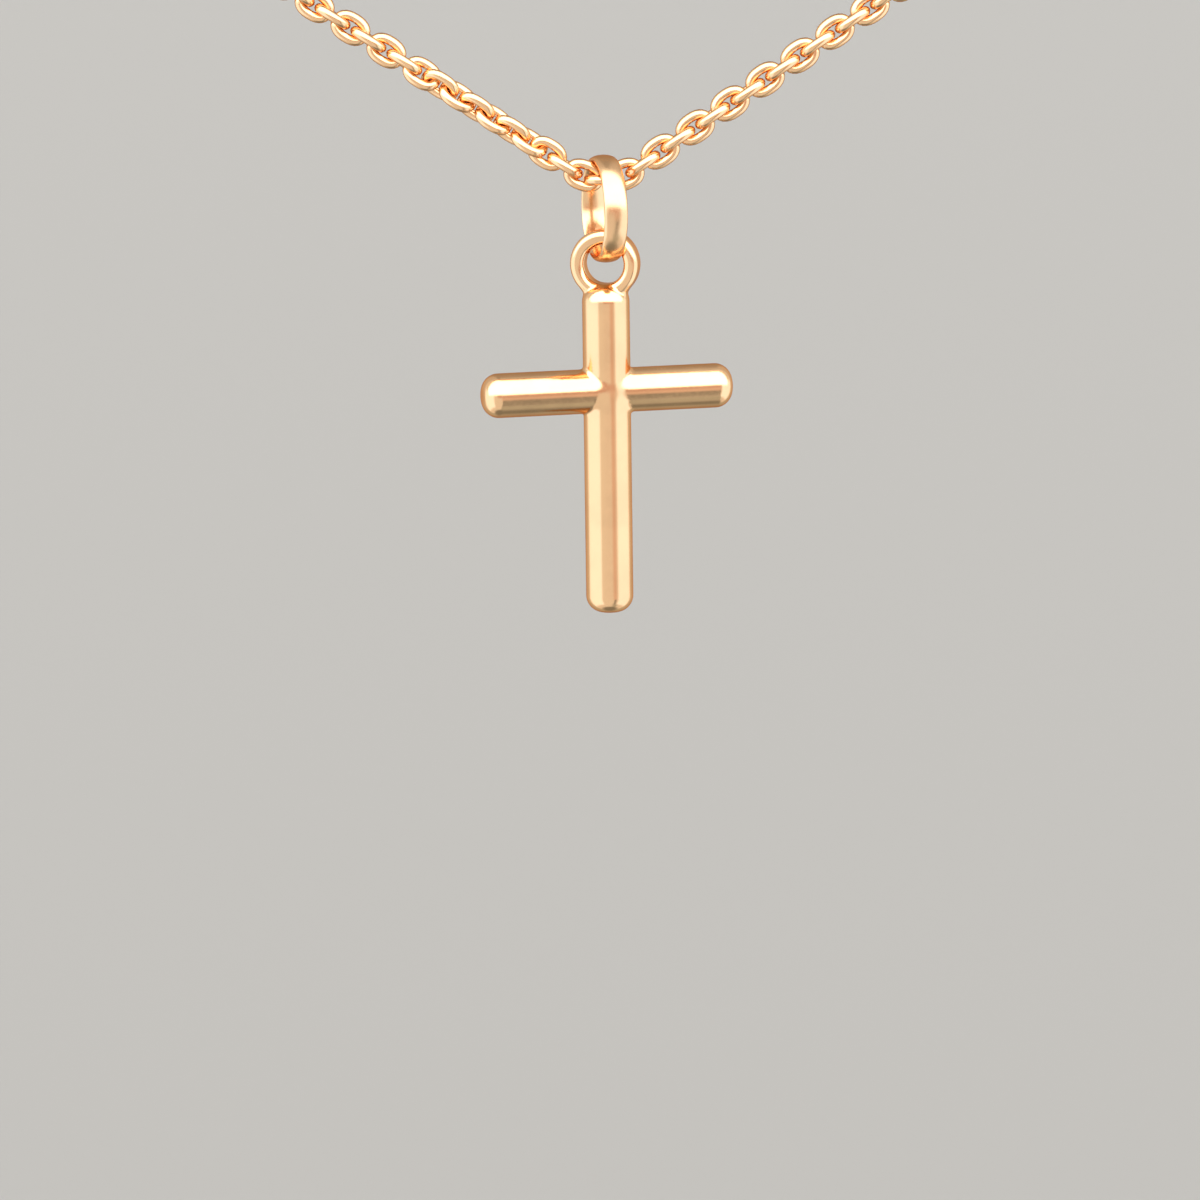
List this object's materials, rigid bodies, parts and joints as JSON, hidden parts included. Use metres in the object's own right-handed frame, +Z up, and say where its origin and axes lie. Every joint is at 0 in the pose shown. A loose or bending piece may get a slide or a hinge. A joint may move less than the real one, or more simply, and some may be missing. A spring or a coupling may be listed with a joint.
{
  "type": "cross pendant on its chain",
  "caption": "Plain round-bar Latin cross with rounded ends, a soldered eyelet and a ring bail, hanging on a fine trace chain loop.",
  "frame": {"origin": "middle of the chain at the nape, inside the clasp's ring, where the chain sits on a neck", "axes": "+X towards the right strand as the pendant is seen from the front, -Y to the front, +Z up"},
  "size_m": [0.141, 0.0993, 0.1241],
  "materials": {
    "cross_gold": "mirror polished rose-yellow gold",
    "bail_gold": "mirror polished rose-yellow gold",
    "chain_gold": "polished rose-yellow gold",
    "clasp_gold": "polished rose-yellow gold"
  },
  "bodies": {
    "chain": {"chain_left": "chain_gold", "chain_right": "chain_gold", "clasp": "clasp_gold"},
    "bail": {"bail": "bail_gold"},
    "cross": {"cross": "cross_gold"}
  },
  "joints": [
    {"name": "bail_swing", "type": "hinge", "parent": "chain", "child": "bail", "pos_m": [0, -0.09449, -0.10494], "axis": [0.9781, 0.2079, 0], "range_deg": [-60, 60]},
    {"name": "cross_swing", "type": "hinge", "parent": "bail", "child": "cross", "pos_m": [0, -0.09449, -0.10828], "axis": [-0.2079, 0.9781, 0], "range_deg": [-60, 60]}
  ]
}
